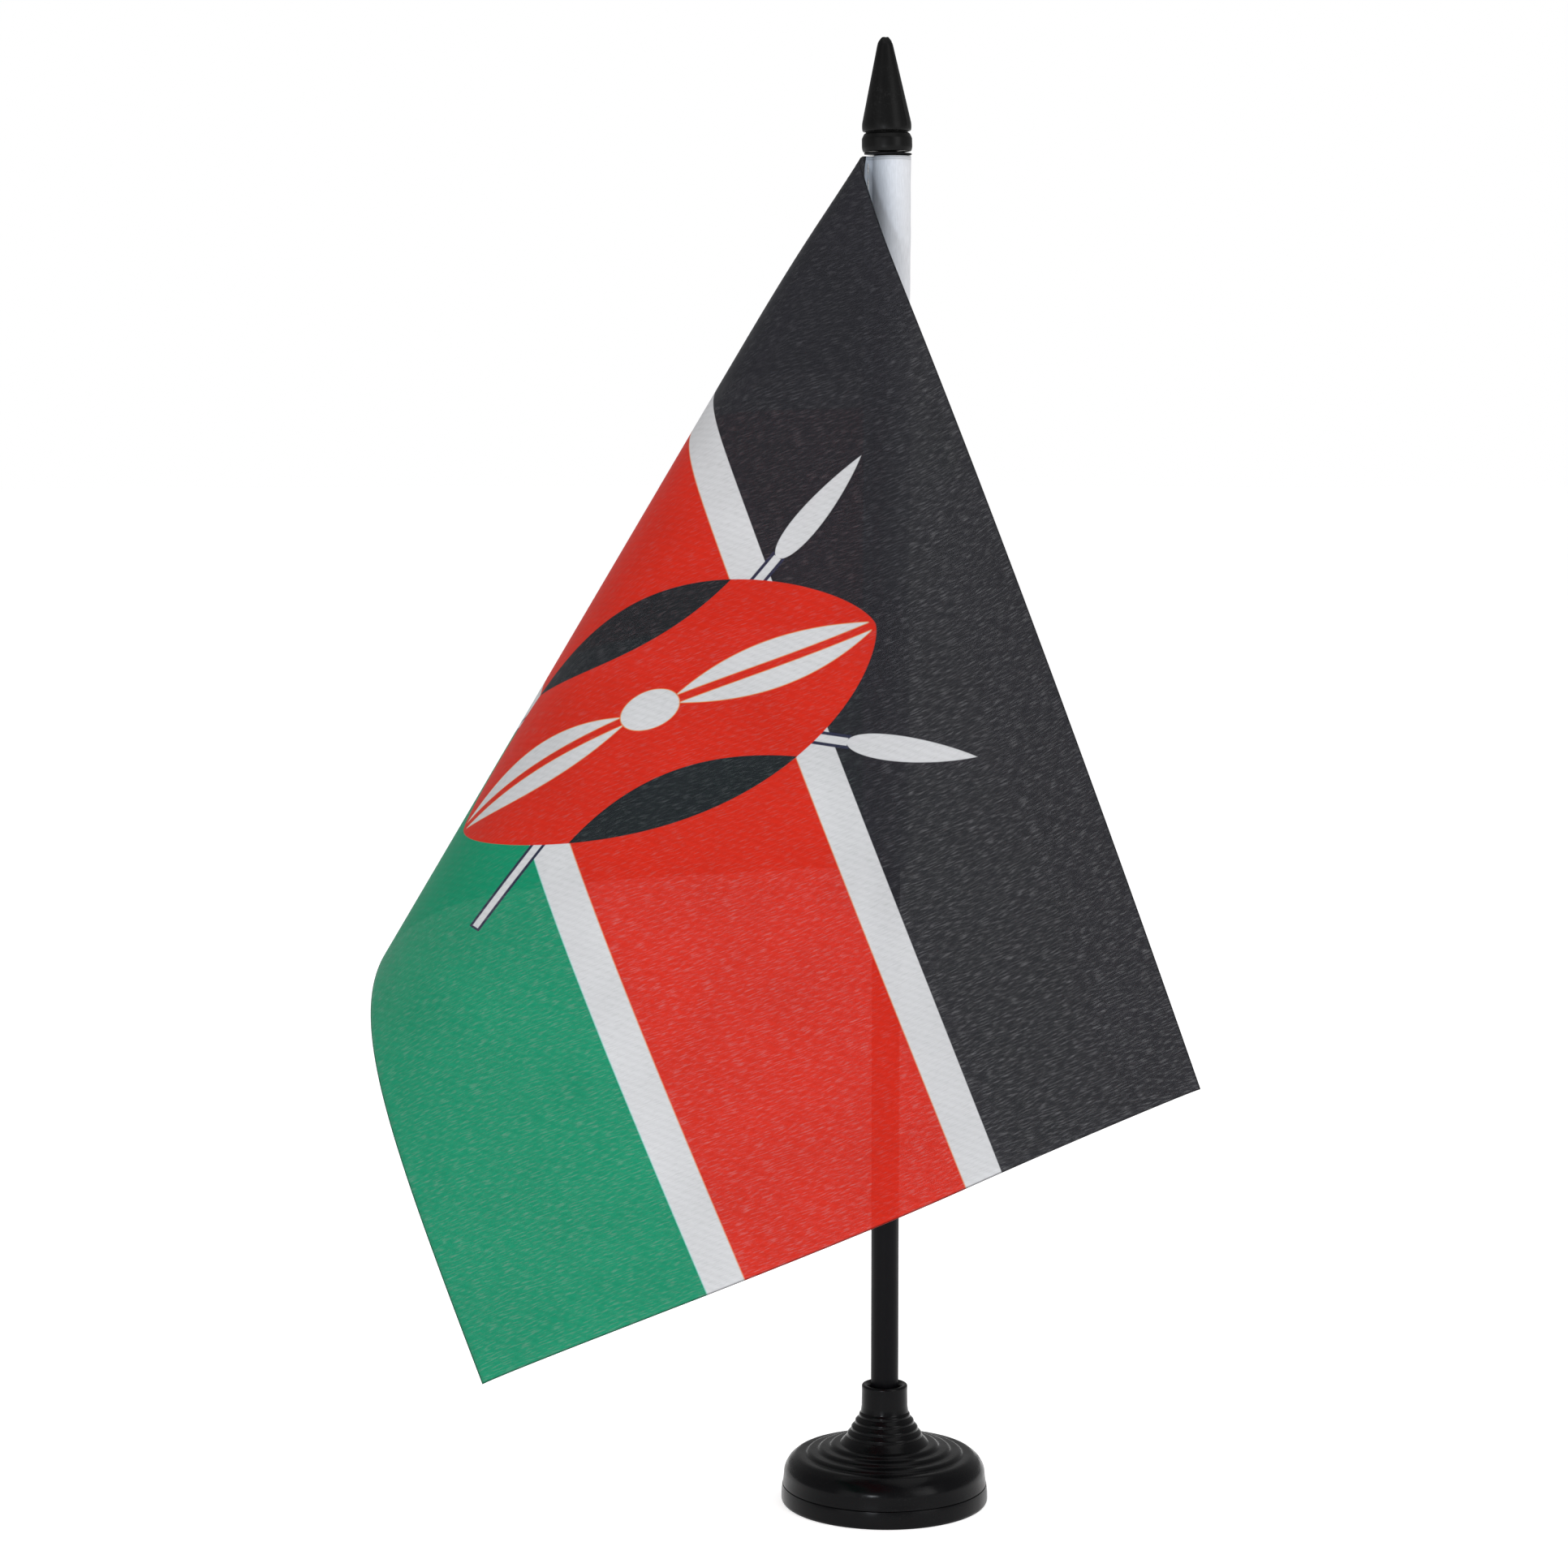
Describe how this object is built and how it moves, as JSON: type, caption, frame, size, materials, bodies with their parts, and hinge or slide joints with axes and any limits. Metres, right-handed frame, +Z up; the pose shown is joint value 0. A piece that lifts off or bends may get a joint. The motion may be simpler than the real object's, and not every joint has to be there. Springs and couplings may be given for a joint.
{
  "type": "desk flag stand",
  "caption": "Small cloth flag with a sleeve on a thin push-in pole, with a pointed finial and a stepped round weighted base.",
  "frame": {"origin": "on the pole's axis, at the flat underside of the base that rests on the desk", "axes": "+Z up along the pole, +X to the right of a person facing the flag, -Y towards that person, to where the cloth's free end comes"},
  "size_m": [0.1472, 0.1344, 0.293],
  "materials": {
    "shell_plastic": "satin",
    "cover_plastic": "satin",
    "ballast_steel": "satin",
    "pole_plastic": "satin",
    "finial_plastic": "satin",
    "printed_cloth": "matte",
    "white_cloth": "matte",
    "thread": "matte"
  },
  "bodies": {
    "base": {"base_shell": "shell_plastic", "base_cover": "cover_plastic", "ballast_washer": "ballast_steel"},
    "pole": {"pole": "pole_plastic"},
    "finial": {"finial": "finial_plastic"},
    "flag": {"flag_panel": "printed_cloth", "flag_sleeve": "white_cloth", "sleeve_stitching": "thread"}
  },
  "joints": [
    {"name": "pole_pull", "type": "slide", "parent": "base", "child": "pole", "axis": [0, 0, 1], "range_m": [0, 0.017]},
    {"name": "finial_pull", "type": "slide", "parent": "pole", "child": "finial", "axis": [0, 0, 1], "range_m": [0, 0.009]},
    {"name": "flag_swivel", "type": "hinge", "parent": "pole", "child": "flag", "pos_m": [0, 0, 0.2], "axis": [0, 0, 1], "continuous": true}
  ]
}
